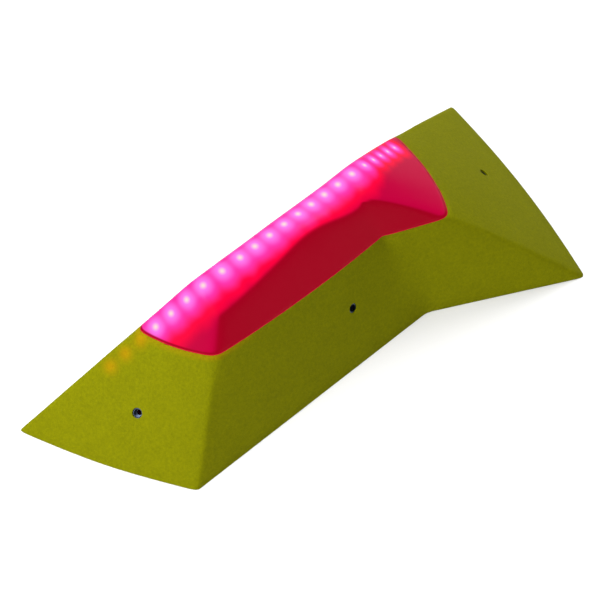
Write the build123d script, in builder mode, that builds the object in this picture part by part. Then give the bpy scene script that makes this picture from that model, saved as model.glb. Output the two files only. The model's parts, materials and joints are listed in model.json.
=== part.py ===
from build123d import *
import math
import os

# Lit climbing volume: a hollow bolt-on fibreglass body with a translucent lit cover.
#
# Frame: +Z away from the wall panel that the rim rests on, X along the length,
# -Y to the long waisted front face. Origin at the bottom centre. Millimetres.

# ---- Skin: corner points of the rim (Z = 0) and of the seam, left-back corner first, anticlockwise ----
length = 1080.0
rim_left_back = (-length / 2, 227.5)
rim_left_front = (-422.0, -65.0)
rim_waist = (106.0, -83.0)
rim_right_front = (360.0, -229.9)
rim_right_back = (length / 2, 227.5)

seam_height = 165.0
seam_left_back = (-347.0, 137.5)
seam_left_front = (-303.0, 7.0)
seam_waist = (68.0, -7.0)
seam_right_front = (188.0, -60.0)
seam_right_back = (266.0, 137.5)

crown_height = 272.0
crown_left_back = (-232.0, 79.0)
crown_left_front = (-229.0, 58.0)
crown_waist = (42.0, 36.0)
crown_right_front = (58.0, 32.0)
crown_right_back = (74.0, 79.0)

rim_corner_radii = (6.0, 6.0, 40.0, 6.0, 6.0)
seam_corner_radii = (18.0, 18.0, 60.0, 18.0, 18.0)
crown_corner_radii = (9.0, 9.0, 40.0, 9.0, 12.0)
inner_corner_share = 0.5

# How far each side bulges beyond its straight chord: left, front, flare, right, back.
rim_bulge = (9.0, 0.0, 0.0, 13.0, 0.0)
seam_bulge = (9.0, 8.0, 0.0, 9.0, 0.0)
crown_bulge = (0.0, 0.0, 0.0, 0.0, 0.0)

# The shoulder facet that closes the cover: its rear edge, its fall to the front and its arch.
shoulder_y = 92.0
shoulder_left = (-258.0, 250.0)
shoulder_right = (84.0, 262.0)
shoulder_arch = 5.0
facet_reach = 2.4
shoulder_tilt = 22.0

# ---- Walls, measured horizontally from the outer skin ----
shell_wall = 10.0
shell_flange_width = 30.0
shell_flange_thickness = 6.0
cover_wall = 8.0
cover_roof = 6.0
cover_flange_thickness = 4.0
seal_thickness = 2.0
seal_setback = 1.5
seal_width = 8.0

# ---- Cover screws: side number and place along it ----
cover_screw_places = (
    (0, 0.62), (1, 0.14), (1, 0.50), (1, 0.86), (2, 0.50),
    (3, 0.45), (3, 0.64), (4, 0.22), (4, 0.50), (4, 0.80),
)
cover_screw_setback = 30.0
cover_screw_diameter = 5.0
cover_screw_clearance = 0.25
cover_screw_head_diameter = 9.5
cover_screw_head_height = 3.0
cover_nut_flats = 8.0
cover_nut_height = 4.7
screw_tip_stand_out = 1.5

# ---- Plywood frame inside the shell ----
frame_gap = 1.5
ring_thickness = 18.0
ring_width = 58.0
rib_thickness = 15.0
rib_window_width = 90.0
rib_window_height = 66.0
rib_window_radius = 12.0
rib_window_y = 58.0
rib_window_z = 88.0
rib_places = {"left_rib": -200.0, "middle_rib": 72.0, "right_rib": 176.0}
windowed_ribs = ("middle_rib", "right_rib")

rib_angle_leg = 28.0
rib_angle_thickness = 3.0
rib_angle_length = 30.0
rib_angle_screw_offset = 17.0
rib_angle_front_y = {"left_rib": -25.0, "middle_rib": -25.0, "right_rib": -78.0}
rib_angle_back_y = 168.0
rib_angle_screw_diameter = 4.0
rib_angle_screw_head_diameter = 8.0
rib_angle_screw_head_height = 2.4
rib_angle_screw_length = 14.0

# ---- Screw heads: shares of the head's height and diameter ----
head_rounding = 0.45
socket_share = 0.24
socket_depth_share = 0.55

# ---- Fixings to the wall panel: tee-nuts in the base ring ----
wall_thread_hole_radius = 4.25
wall_nut_barrel_radius = 6.0
wall_nut_flange_radius = 12.5
wall_nut_flange_thickness = 2.0
wall_fixing_spacing_x = 340.0
wall_fixing_spacing_y = 220.0
wall_fixing_centre = (-150.0, 77.0)
extra_wall_fixings = ((345.0, -140.0), (430.0, 187.0))

# ---- Hold inserts: side number, place along it and height ----
hold_places = {
    "left": (0, 0.52, 74.0),
    "front": (1, 0.725, 94.0),
    "right": (3, 0.555, 60.0),
    "back": (4, 0.60, 84.0),
}
hold_hole_radius = 8.5
hold_mouth_depth = 2.0
hold_throat_radius = 6.5
hold_throat_depth = 9.0
hold_thread_hole_radius = 4.25
hold_flange_radius = 19.0
hold_flange_thickness = 3.0
hold_pad_side = 76.0
hold_pad_thickness = 12.0
hold_pad_corner = 8.0
hold_pad_bed = 1.8
hold_pad_clearance = 0.3

# ---- LED line: X and Z of its bends, on a plane that runs beside the back face ----
led_plane_setback = 19.0
led_bends = ((-400.0, 92.5), (-222.0, 214.0), (95.0, 229.0), (225.0, 176.0))
led_pitch = 31.8
led_size = 5.0
led_height = 1.6
led_end_margin = 8.0
strip_width = 10.0
strip_thickness = 0.6
channel_width = 16.0
channel_side = 1.6
channel_floor = 1.8
channel_depth = 7.0
cap_thickness = 2.0
slot_clearance = 4.0

pad_places = (20.0, 84.0)
pad_length = 26.0
pad_height = 6.0

post_y = 80.0
post_width = 15.0
post_thickness = 3.0
post_foot = 26.0
post_tab_overhang = 6.0
post_screw_diameter = 4.0
post_screw_head_diameter = 8.0
post_screw_head_height = 2.4
post_screw_length = 16.0

# ---- LED driver on the left rib, with its leads ----
driver_length = 96.0
driver_height = 52.0
driver_depth = 30.0
driver_wall = 2.5
driver_post = 12.0
driver_lid_thickness = 4.0
driver_corner = 6.0
driver_y = 62.0
driver_z = 66.0
driver_screw_diameter = 3.0
driver_screw_head_diameter = 5.6
driver_screw_head_height = 2.0
driver_screw_length = 14.0
driver_screw_inset = 6.0
board_thickness = 1.6
board_gap = 1.5
board_components = (
    ((-16.0, 4.0), (22.0, 18.0), 14.0),
    ((12.0, -8.0), (10.0, 10.0), 12.0),
    ((14.0, 10.0), (12.0, 8.0), 7.0),
)
board_raise = 5.0
gland_radius = 6.0
gland_length = 14.0
gland_flange_radius = 8.0
gland_flange_thickness = 3.0
gland_chamfer = 1.5
power_gland_z = 55.0
led_gland_y = 88.0
led_gland_z = 76.0

lead_diameter = 5.0
lead_bend_share = 0.45
grommet_radius = 4.5
grommet_height = 5.0
grommet_distance = 41.0
lead_straight = 22.0
led_lead_route = (
    (-325.0, 150.0, 72.0),
    (-302.0, 112.0, 69.0),
    (-280.0, 88.0, 76.0),
)

inlet_z = 76.0
inlet_body_radius = 8.0
inlet_clearance = 0.3
inlet_flange_radius = 12.0
inlet_flange_thickness = 3.0
inlet_depth = 30.0
inlet_socket_radius = 4.0
inlet_socket_depth = 14.0
inlet_nut_flats = 22.0
inlet_nut_thickness = 4.0

os.makedirs("parts", exist_ok=True)

rim_points = (rim_left_back, rim_left_front, rim_waist, rim_right_front, rim_right_back)
seam_points = (seam_left_back, seam_left_front, seam_waist, seam_right_front, seam_right_back)
crown_points = (crown_left_back, crown_left_front, crown_waist, crown_right_front, crown_right_back)
side_count = len(rim_points)
seal_top = seam_height + seal_thickness
flange_top = seal_top + cover_flange_thickness
flange_inner = shell_wall + shell_flange_width
frame_inset = shell_wall + frame_gap
wide = 2 * length


def blend(low, high, share):
    """The value that lies a share of the way from low to high."""
    return low + (high - low) * share


def level_data(height):
    """Corner points, bulges and corner radii of the outer skin at a height."""
    if height <= seam_height:
        low = (rim_points, rim_bulge, rim_corner_radii)
        high = (seam_points, seam_bulge, seam_corner_radii)
        share = height / seam_height
    else:
        low = (seam_points, seam_bulge, seam_corner_radii)
        high = (crown_points, crown_bulge, crown_corner_radii)
        share = (height - seam_height) / (crown_height - seam_height)
    points = [
        (blend(p[0], q[0], share), blend(p[1], q[1], share))
        for p, q in zip(low[0], high[0])
    ]
    bulges = [blend(p, q, share) for p, q in zip(low[1], high[1])]
    radii = [blend(p, q, share) for p, q in zip(low[2], high[2])]
    return points, bulges, radii


def outline(height, inset=0.0):
    """Closed face of the skin's section at a height, drawn in by an inset."""
    points, bulges, radii = level_data(height)
    with BuildSketch(Plane.XY.offset(height)) as section:
        with BuildLine():
            for side in range(side_count):
                start = points[side]
                end = points[(side + 1) % side_count]
                if abs(bulges[side]) > 0.01:
                    SagittaArc(start, end, -bulges[side])
                else:
                    Line(start, end)
        make_face()
        if inset > 0:
            offset(amount=-inset, kind=Kind.INTERSECTION)
        for point, radius in zip(points, radii):
            corner = section.vertices().sort_by_distance((point[0], point[1], 0))[0]
            fillet(corner, radius=radius * (inner_corner_share if inset > 0 else 1))
    return section.sketch


def chord_spot(side, after, share, height):
    """Point on the skin at a share of one side, with the heading of the side there."""
    points, bulges, _ = level_data(height)
    start = Vector(*points[side], height)
    chord = Vector(*points[after], height) - start
    out = Vector(chord.Y, -chord.X).normalized()
    swell = bulges[side] * 4 * share * (1 - share)
    swell_slope = bulges[side] * 4 * (1 - 2 * share)
    heading = (chord + out * swell_slope).normalized()
    return start + chord * share + out * swell, heading


def side_spot(side, share, height):
    """Plane on one side of the skin: origin on the surface, Z outwards, X along the side."""
    after = (side + 1) % side_count
    base, base_along = chord_spot(side, after, share, 0.0)
    top, top_along = chord_spot(side, after, share, seam_height)
    up_share = height / seam_height
    along = (base_along * (1 - up_share) + top_along * up_share).normalized()
    normal = along.cross((top - base).normalized()).normalized()
    centre = base * (1 - up_share) + top * up_share
    return Plane(origin=centre, x_dir=along, z_dir=normal)


def bed_for(side, share, height):
    """Depth of the bed behind the wall that a flat pad needs where the side is twisted or swollen."""
    spot = side_spot(side, share, height)
    (x0, y0), (x1, y1) = level_data(height)[0][side], level_data(height)[0][(side + 1) % side_count]
    reach = hold_pad_side / 2
    steps = [(u, v) for u in (-reach, reach) for v in (-reach, reach)]
    deepest = 0.0
    for along, up in steps:
        corner = side_spot(
            side, share + along / math.hypot(x1 - x0, y1 - y0), height + up * spot.y_dir.Z
        )
        sink = (spot.origin - corner.origin).dot(spot.z_dir)
        inward = Vector(corner.z_dir.X, corner.z_dir.Y).normalized() * shell_wall
        sink += inward.dot(spot.z_dir) - wall_along(spot, shell_wall)
        deepest = max(deepest, sink)
    return max(hold_pad_bed, deepest + hold_pad_clearance)


def wall_along(spot, inset):
    """Thickness along the normal of a wall that is inset by a horizontal amount."""
    return inset * math.hypot(spot.z_dir.X, spot.z_dir.Y)


# ---- LED plane: local X along the length, local Y up the back slope, Z to the front ----
back_spot = side_spot(4, 0.5, 0.0)
led_plane = Plane(
    origin=Vector(0, rim_left_back[1], 0) - back_spot.z_dir * led_plane_setback,
    x_dir=(1, 0, 0),
    z_dir=-back_spot.z_dir,
)
led_path = [Vector(x, z / led_plane.y_dir.Z) for x, z in led_bends]


def path_level(raise_by, extend=0.0):
    """The LED line moved square to itself, with its two ends lengthened."""
    headings = [(b - a).normalized() for a, b in zip(led_path, led_path[1:])]
    moved = []
    for i, point in enumerate(led_path):
        before = headings[max(i - 1, 0)]
        after = headings[min(i, len(headings) - 1)]
        mitre = (before + after).normalized()
        out = Vector(-mitre.Y, mitre.X)
        moved.append(point + out * (raise_by / mitre.dot(before)))
    moved[0] = moved[0] - headings[0] * extend
    moved[-1] = moved[-1] + headings[-1] * extend
    return moved


def path_band(low, high, extend=0.0):
    """Closed face between two levels of the LED line, on the LED plane's local axes."""
    corners = path_level(low, extend) + path_level(high, extend)[::-1]
    with BuildSketch(led_plane) as band:
        with BuildLine():
            Polyline(*[(c.X, c.Y) for c in corners], close=True)
        make_face()
    return band.sketch


def path_spot(distance):
    """Point and heading on the LED line at a distance from its left end."""
    for a, b in zip(led_path, led_path[1:]):
        run = (b - a).length
        if distance <= run:
            heading = (b - a).normalized()
            return a + heading * distance, heading
        distance -= run
    return led_path[-1], (led_path[-1] - led_path[-2]).normalized()


def led_height_at(x):
    """Z of the LED line above a place along the length."""
    for (xa, za), (xb, zb) in zip(led_bends, led_bends[1:]):
        if xa <= x <= xb:
            return blend(za, zb, (x - xa) / (xb - xa))
    return led_bends[-1][1]


channel_base = -(strip_thickness + channel_floor)
channel_rim = channel_base + channel_floor + channel_depth


def slot_cut():
    """Room for the LED channel where it passes the flanges."""
    past_end = cap_thickness + slot_clearance / 2
    band = path_band(channel_base - slot_clearance, channel_rim + slot_clearance, past_end)
    return extrude(band, amount=channel_width / 2 + slot_clearance / 2, both=True)


def screw(plane, diameter, length_below, head_diameter, head_height):
    """Pan-head screw: shank below the plane, head above it."""
    with BuildPart() as piece:
        with BuildSketch(plane):
            Circle(diameter / 2)
        extrude(amount=-length_below)
        with BuildSketch(plane):
            Circle(head_diameter / 2)
        extrude(amount=head_height)
        rims = piece.edges().filter_by(GeomType.CIRCLE).group_by(SortBy.RADIUS)[-1]
        highest = sorted(rims, key=lambda rim: plane.to_local_coords(rim.arc_center).Z)[-1]
        fillet(highest, radius=head_height * head_rounding)
        with BuildSketch(plane.offset(head_height)):
            RegularPolygon(radius=head_diameter * socket_share, side_count=6)
        extrude(amount=-head_height * socket_depth_share, mode=Mode.SUBTRACT)
    return piece.part


def write(part, label):
    """Label a finished piece and write it."""
    part.label = label
    export_step(part, f"parts/{label}.step")


def in_cover(share_side):
    """XY of a cover screw: a place along one side of the seam, set back from it."""
    side, share = share_side
    points, bulges, _ = level_data(seam_height)
    after = (side + 1) % side_count
    a, b = Vector(*points[side]), Vector(*points[after])
    along = (b - a).normalized()
    outward = Vector(along.Y, -along.X)
    swell = bulges[side] * 4 * share * (1 - share)
    return a + (b - a) * share + outward * (swell - cover_screw_setback)


hold_spots = {name: side_spot(*place) for name, place in hold_places.items()}
inlet_x = rib_places["left_rib"] - rib_thickness / 2 - driver_depth / 2
inlet_row = level_data(inlet_z)[0]
inlet_share = (inlet_row[4][0] - inlet_x) / (inlet_row[4][0] - inlet_row[0][0])
inlet_spot = side_spot(4, inlet_share, inlet_z)
cover_screw_points = [in_cover(place) for place in cover_screw_places]

# ---- Body shell ----
with BuildPart() as body_shell:
    loft(sections=[outline(0), outline(seam_height)], ruled=True)
    floor_of_flange = seam_height - shell_flange_thickness
    loft(
        sections=[outline(0, shell_wall), outline(floor_of_flange, shell_wall)],
        ruled=True,
        mode=Mode.SUBTRACT,
    )
    add(extrude(outline(floor_of_flange - 1, flange_inner), amount=wide), mode=Mode.SUBTRACT)
    for point in cover_screw_points:
        with BuildSketch(Plane.XY.offset(floor_of_flange)):
            with Locations((point.X, point.Y)):
                Circle(cover_screw_diameter / 2 + cover_screw_clearance)
        extrude(amount=shell_flange_thickness, mode=Mode.SUBTRACT)
    for spot in hold_spots.values():
        with BuildSketch(spot):
            Circle(hold_hole_radius)
        extrude(amount=2 * shell_wall, both=True, mode=Mode.SUBTRACT)
    with BuildSketch(inlet_spot):
        Circle(inlet_body_radius + inlet_clearance)
    extrude(amount=2 * shell_wall, both=True, mode=Mode.SUBTRACT)
    add(slot_cut(), mode=Mode.SUBTRACT)
write(body_shell.part, "body_shell")


# ---- Translucent cover ----
def crowned_block(inset, drop):
    """Solid from the seam up to the shoulder facet, drawn in and lowered for the inside."""
    rise = math.atan2(shoulder_right[1] - shoulder_left[1], shoulder_right[0] - shoulder_left[0])
    tilt = math.radians(shoulder_tilt)
    middle = (shoulder_left[0] + shoulder_right[0]) / 2
    peak = (shoulder_left[1] + shoulder_right[1]) / 2 - drop
    facet = Plane(
        origin=(middle, shoulder_y, peak),
        x_dir=(1, 0, 0),
        z_dir=(0, -math.cos(tilt), -math.sin(tilt)),
    )
    with BuildPart() as block:
        loft(sections=[outline(seam_height, inset), outline(crown_height, inset * 0.5)], ruled=True)
        half = (shoulder_right[0] - shoulder_left[0]) / 2
        lift = math.tan(rise) * half
        reach = facet_reach
        drop_ends = shoulder_arch * (reach * reach - 1)
        with BuildSketch(facet):
            with BuildLine():
                left_end = (-half * reach, -lift * reach - drop_ends)
                right_end = (half * reach, lift * reach - drop_ends)
                ThreePointArc(left_end, (0, shoulder_arch), right_end)
                Polyline(right_end, (half * reach, crown_height), (-half * reach, crown_height), left_end)
            make_face()
        extrude(amount=wide / 4, both=True, mode=Mode.SUBTRACT)
    return block.part


cover_core = crowned_block(cover_wall, cover_roof)
with BuildPart() as light_cover:
    add(crowned_block(0.0, 0.0))
    add(cover_core, mode=Mode.SUBTRACT)
    with BuildSketch(Plane.XY.offset(seal_top)):
        add(outline(flange_top, cover_wall / 4).moved(Location((0, 0, -flange_top))))
        add(
            outline(seam_height, flange_inner).moved(Location((0, 0, -seam_height))),
            mode=Mode.SUBTRACT,
        )
    extrude(amount=cover_flange_thickness)
    add(
        extrude(outline(seam_height - 1), amount=seal_thickness + 1),
        mode=Mode.SUBTRACT,
    )
    for point in cover_screw_points:
        with BuildSketch(Plane.XY.offset(seal_top)):
            with Locations((point.X, point.Y)):
                Circle(cover_screw_diameter / 2 + cover_screw_clearance)
        extrude(amount=cover_flange_thickness, mode=Mode.SUBTRACT)
    add(slot_cut(), mode=Mode.SUBTRACT)
write(light_cover.part, "light_cover")

# ---- Seal between the shell flange and the cover ----
with BuildPart() as cover_seal:
    with BuildSketch(Plane.XY.offset(seam_height)):
        add(outline(seam_height, seal_setback).moved(Location((0, 0, -seam_height))))
        add(
            outline(seam_height, seal_setback + seal_width).moved(Location((0, 0, -seam_height))),
            mode=Mode.SUBTRACT,
        )
    extrude(amount=seal_thickness)
write(cover_seal.part, "cover_seal")

# ---- Cover screws from below, with their nuts on the cover flange ----
clamped = shell_flange_thickness + seal_thickness + cover_flange_thickness
with BuildPart() as cover_screws:
    for point in cover_screw_points:
        head_plane = Plane(origin=(point.X, point.Y, floor_of_flange), z_dir=(0, 0, -1))
        add(
            screw(
                head_plane,
                cover_screw_diameter,
                clamped + cover_nut_height + screw_tip_stand_out,
                cover_screw_head_diameter,
                cover_screw_head_height,
            )
        )
write(cover_screws.part, "cover_screws")

with BuildPart() as cover_nuts:
    with BuildSketch(Plane.XY.offset(flange_top)):
        with Locations(*[(p.X, p.Y) for p in cover_screw_points]):
            RegularPolygon(radius=cover_nut_flats / 2, side_count=6, major_radius=False)
            Circle(cover_screw_diameter / 2, mode=Mode.SUBTRACT)
    extrude(amount=cover_nut_height)
write(cover_nuts.part, "cover_nuts")

# ---- Plywood base ring inside the rim ----
wall_fixings = [
    (spot.position.X + wall_fixing_centre[0], spot.position.Y + wall_fixing_centre[1])
    for spot in GridLocations(wall_fixing_spacing_x, wall_fixing_spacing_y, 2, 2).locations
]
wall_fixings += list(extra_wall_fixings)
ring_top = Plane.XY.offset(ring_thickness)


def angle_screw_planes(label):
    """Head planes of the screws of one rib's angles, first into the ring, then into the rib."""
    face_x = rib_places[label] + rib_thickness / 2
    into_ring = []
    into_rib = []
    for y in (rib_angle_front_y[label], rib_angle_back_y):
        into_ring.append(
            Plane(
                origin=(face_x + rib_angle_screw_offset, y, ring_thickness + rib_angle_thickness),
                z_dir=(0, 0, 1),
            )
        )
        into_rib.append(
            Plane(
                origin=(face_x + rib_angle_thickness, y, ring_thickness + rib_angle_screw_offset),
                z_dir=(1, 0, 0),
            )
        )
    return into_ring, into_rib


with BuildPart() as base_ring:
    loft(
        sections=[outline(0, frame_inset), outline(ring_thickness, frame_inset)],
        ruled=True,
    )
    add(
        extrude(outline(0, frame_inset + ring_width), amount=2 * ring_thickness, both=True),
        mode=Mode.SUBTRACT,
    )
    with BuildSketch():
        with Locations(*wall_fixings):
            Circle(wall_nut_barrel_radius)
    extrude(amount=ring_thickness, mode=Mode.SUBTRACT)
    for label in rib_places:
        for head_plane in angle_screw_planes(label)[0]:
            with BuildSketch(head_plane):
                Circle(rib_angle_screw_diameter / 2)
            extrude(amount=-rib_angle_screw_length, mode=Mode.SUBTRACT)
write(base_ring.part, "base_ring")

with BuildPart() as wall_tee_nuts:
    with BuildSketch():
        with Locations(*wall_fixings):
            Circle(wall_nut_barrel_radius)
    extrude(amount=ring_thickness)
    with BuildSketch(ring_top):
        with Locations(*wall_fixings):
            Circle(wall_nut_flange_radius)
    extrude(amount=wall_nut_flange_thickness)
    with BuildSketch():
        with Locations(*wall_fixings):
            Circle(wall_thread_hole_radius)
    extrude(amount=ring_thickness + wall_nut_flange_thickness, mode=Mode.SUBTRACT)
write(wall_tee_nuts.part, "wall_tee_nuts")


# ---- Posts that carry the LED channel, one on each rib ----
def channel_seat(x):
    """Middle of the channel's underside above a place along the length."""
    z = led_height_at(x)
    local = Vector(x, z / led_plane.y_dir.Z + channel_base)
    return led_plane.from_local_coords(local)


rib_top = seam_height - shell_flange_thickness
post_screw_planes = [
    Plane(origin=(x, post_y - post_foot / 2 - post_thickness, rib_top + post_thickness))
    for x in rib_places.values()
]
tab_band = path_band(channel_base - post_thickness, channel_base)
tab_slope = led_plane.z_dir.Z / led_plane.z_dir.Y
post_tabs = []
for x in rib_places.values():
    seat = channel_seat(x)
    reach = (seat.Y - post_y) / -led_plane.z_dir.Y
    front_reach = max(reach, 0) + post_tab_overhang
    back_reach = max(-reach, 0) + post_tab_overhang
    tab = extrude(tab_band, amount=front_reach) + extrude(tab_band, amount=-back_reach)
    post_tabs.append(tab & Pos(x, 0, 0) * Box(post_width, wide, wide))

with BuildPart() as channel_posts:
    for x, tab in zip(rib_places.values(), post_tabs):
        add(tab)
        seat = channel_seat(x)
        bar_top = seat.Z + (post_y - seat.Y) * tab_slope - post_thickness / 2
        with BuildSketch(Plane.XY.offset(rib_top)):
            with Locations((x, post_y)):
                Rectangle(post_width, post_thickness)
        extrude(amount=bar_top - rib_top)
        with BuildSketch(Plane.XY.offset(rib_top)):
            with Locations((x, post_y - post_foot / 2)):
                Rectangle(post_width, post_foot)
        extrude(amount=post_thickness)
    for head_plane in post_screw_planes:
        with BuildSketch(head_plane):
            Circle(post_screw_diameter / 2)
        extrude(amount=-post_thickness, mode=Mode.SUBTRACT)
write(channel_posts.part, "channel_posts")

with BuildPart() as post_screws:
    for head_plane in post_screw_planes:
        add(
            screw(
                head_plane,
                post_screw_diameter,
                post_screw_length,
                post_screw_head_diameter,
                post_screw_head_height,
            )
        )
write(post_screws.part, "post_screws")

# ---- Plywood ribs from the ring to the shell flange ----
for (label, x), head_plane in zip(rib_places.items(), post_screw_planes):
    with BuildPart() as rib:
        loft(
            sections=[outline(ring_thickness, frame_inset), outline(rib_top, frame_inset)],
            ruled=True,
        )
        with BuildSketch(Plane.YZ.offset(x)):
            Rectangle(wide, wide)
        extrude(amount=rib_thickness / 2, both=True, mode=Mode.INTERSECT)
        if label in windowed_ribs:
            with BuildSketch(Plane.YZ.offset(x)):
                with Locations((rib_window_y, rib_window_z)):
                    RectangleRounded(rib_window_width, rib_window_height, rib_window_radius)
            extrude(amount=rib_thickness, both=True, mode=Mode.SUBTRACT)
        with BuildSketch(head_plane):
            Circle(post_screw_diameter / 2)
        extrude(amount=-post_screw_length, mode=Mode.SUBTRACT)
        for angle_plane in angle_screw_planes(label)[1]:
            with BuildSketch(angle_plane):
                Circle(rib_angle_screw_diameter / 2)
            extrude(amount=-rib_angle_screw_length, mode=Mode.SUBTRACT)
    write(rib.part, label)

with BuildPart() as rib_angles:
    for label, x in rib_places.items():
        face_x = x + rib_thickness / 2
        for y in (rib_angle_front_y[label], rib_angle_back_y):
            with BuildSketch(Plane.XZ.offset(-y)):
                with BuildLine():
                    Polyline(
                        (face_x, ring_thickness),
                        (face_x + rib_angle_leg, ring_thickness),
                        (face_x + rib_angle_leg, ring_thickness + rib_angle_thickness),
                        (face_x + rib_angle_thickness, ring_thickness + rib_angle_thickness),
                        (face_x + rib_angle_thickness, ring_thickness + rib_angle_leg),
                        (face_x, ring_thickness + rib_angle_leg),
                        close=True,
                    )
                make_face()
            extrude(amount=rib_angle_length / 2, both=True)
        for planes in angle_screw_planes(label):
            for head_plane in planes:
                with BuildSketch(head_plane):
                    Circle(rib_angle_screw_diameter / 2)
                extrude(amount=-rib_angle_thickness, mode=Mode.SUBTRACT)
write(rib_angles.part, "rib_angles")

with BuildPart() as angle_screws:
    for label in rib_places:
        for planes in angle_screw_planes(label):
            for head_plane in planes:
                add(
                    screw(
                        head_plane,
                        rib_angle_screw_diameter,
                        rib_angle_screw_length,
                        rib_angle_screw_head_diameter,
                        rib_angle_screw_head_height,
                    )
                )
write(angle_screws.part, "angle_screws")

# ---- Hold inserts in the four faces, each with its backing pad ----
for name, spot in hold_spots.items():
    pad_front = -(wall_along(spot, shell_wall) + bed_for(*hold_places[name]))
    pad_back = pad_front - hold_pad_thickness
    with BuildPart() as insert:
        with BuildSketch(spot.offset(-hold_mouth_depth)):
            Circle(hold_hole_radius)
        extrude(amount=pad_back + hold_mouth_depth)
        with BuildSketch(spot.offset(pad_back)):
            Circle(hold_flange_radius)
        extrude(amount=-hold_flange_thickness)
        with BuildSketch(spot):
            Circle(hold_thread_hole_radius)
        extrude(amount=pad_back - 2 * hold_flange_thickness, mode=Mode.SUBTRACT)
        with BuildSketch(spot):
            Circle(hold_throat_radius)
        extrude(amount=-hold_throat_depth, mode=Mode.SUBTRACT)
    write(insert.part, f"{name}_hold_insert")

    with BuildPart() as pad:
        with BuildSketch(spot.offset(pad_back)):
            RectangleRounded(hold_pad_side, hold_pad_side, hold_pad_corner)
            Circle(hold_hole_radius, mode=Mode.SUBTRACT)
        extrude(amount=hold_pad_thickness)
    write(pad.part, f"{name}_insert_pad")

# ---- LED channel, its caps and pads, the strip and its LEDs ----
grommet_point, grommet_heading = path_spot(grommet_distance)
grommet_up = Vector(-grommet_heading.Y, grommet_heading.X)
grommet_seat = led_plane.from_local_coords(grommet_point + grommet_up * channel_base)
grommet_down = (
    led_plane.from_local_coords(grommet_point)
    - led_plane.from_local_coords(grommet_point + grommet_up)
).normalized()
grommet_plane = Plane(origin=grommet_seat, z_dir=grommet_down)

with BuildPart() as led_channel:
    add(extrude(path_band(channel_base, channel_rim), amount=channel_width / 2, both=True))
    add(
        extrude(
            path_band(-strip_thickness, channel_rim + 1, 1.0),
            amount=channel_width / 2 - channel_side,
            both=True,
        ),
        mode=Mode.SUBTRACT,
    )
    with BuildSketch(grommet_plane):
        Circle(lead_diameter / 2)
    extrude(amount=-channel_floor, mode=Mode.SUBTRACT)
write(led_channel.part, "led_channel")

with BuildPart() as channel_caps:
    add(
        extrude(
            path_band(channel_base, channel_rim, cap_thickness),
            amount=channel_width / 2,
            both=True,
        )
    )
    add(
        extrude(path_band(channel_base - 1, channel_rim + 1), amount=channel_width, both=True),
        mode=Mode.SUBTRACT,
    )
write(channel_caps.part, "channel_caps")

with BuildPart() as led_strip:
    add(extrude(path_band(-strip_thickness, 0), amount=strip_width / 2, both=True))
write(led_strip.part, "led_strip")

path_length = sum((b - a).length for a, b in zip(led_path, led_path[1:]))
led_count = int((path_length - 2 * led_end_margin) / led_pitch) + 1
first_led = (path_length - (led_count - 1) * led_pitch) / 2
with BuildPart() as leds:
    with BuildSketch(led_plane):
        for number in range(led_count):
            point, heading = path_spot(first_led + number * led_pitch)
            centre = point + Vector(-heading.Y, heading.X) * led_height / 2
            tilt = math.degrees(math.atan2(heading.Y, heading.X))
            with Locations(Location((centre.X, centre.Y, 0), (0, 0, tilt))):
                Rectangle(led_size, led_height)
    extrude(amount=led_size / 2, both=True)
write(leds.part, "leds")

shell_back_wall = shell_wall * back_spot.z_dir.Y
pad_near = channel_width / 2
pad_far = led_plane_setback - shell_back_wall
with BuildPart() as channel_pads:
    with BuildSketch(led_plane.offset(-pad_near)):
        for distance in pad_places:
            point, heading = path_spot(distance)
            centre = point + Vector(-heading.Y, heading.X) * (channel_base + channel_rim) / 2
            tilt = math.degrees(math.atan2(heading.Y, heading.X))
            with Locations(Location((centre.X, centre.Y, 0), (0, 0, tilt))):
                Rectangle(pad_length, pad_height)
    extrude(amount=-(pad_far - pad_near))
write(channel_pads.part, "channel_pads")

# ---- LED driver case on the left rib, opening to the left ----
rib_face_x = rib_places["left_rib"] - rib_thickness / 2
lid_seat_x = rib_face_x - driver_depth
driver_plane = Plane(origin=(rib_face_x, driver_y, driver_z), x_dir=(0, -1, 0), z_dir=(-1, 0, 0))
lid_plane = driver_plane.offset(driver_depth)
lid_top = driver_plane.offset(driver_depth + driver_lid_thickness)
driver_screw_spread = (
    driver_length - 2 * driver_screw_inset,
    driver_height - 2 * driver_screw_inset,
)
power_gland_plane = Plane(
    origin=(rib_face_x - driver_depth / 2, driver_y + driver_length / 2, power_gland_z),
    z_dir=(0, 1, 0),
)
led_gland_plane = Plane(
    origin=(lid_seat_x - driver_lid_thickness, led_gland_y, led_gland_z),
    z_dir=(-1, 0, 0),
)

with BuildPart() as driver_case:
    with BuildSketch(driver_plane):
        RectangleRounded(driver_length, driver_height, driver_corner)
    extrude(amount=driver_depth)
    with BuildSketch(driver_plane.offset(driver_wall)):
        Rectangle(driver_length - 2 * driver_wall, driver_height - 2 * driver_wall)
        with GridLocations(driver_length - driver_post, driver_height - driver_post, 2, 2):
            Rectangle(driver_post, driver_post, mode=Mode.SUBTRACT)
    extrude(amount=driver_depth, mode=Mode.SUBTRACT)
    with BuildSketch(lid_plane):
        with GridLocations(*driver_screw_spread, 2, 2):
            Circle(driver_screw_diameter / 2)
    extrude(amount=-(driver_screw_length - driver_lid_thickness), mode=Mode.SUBTRACT)
    with BuildSketch(power_gland_plane):
        Circle(gland_radius)
    extrude(amount=-driver_wall, mode=Mode.SUBTRACT)
write(driver_case.part, "driver_case")

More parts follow.
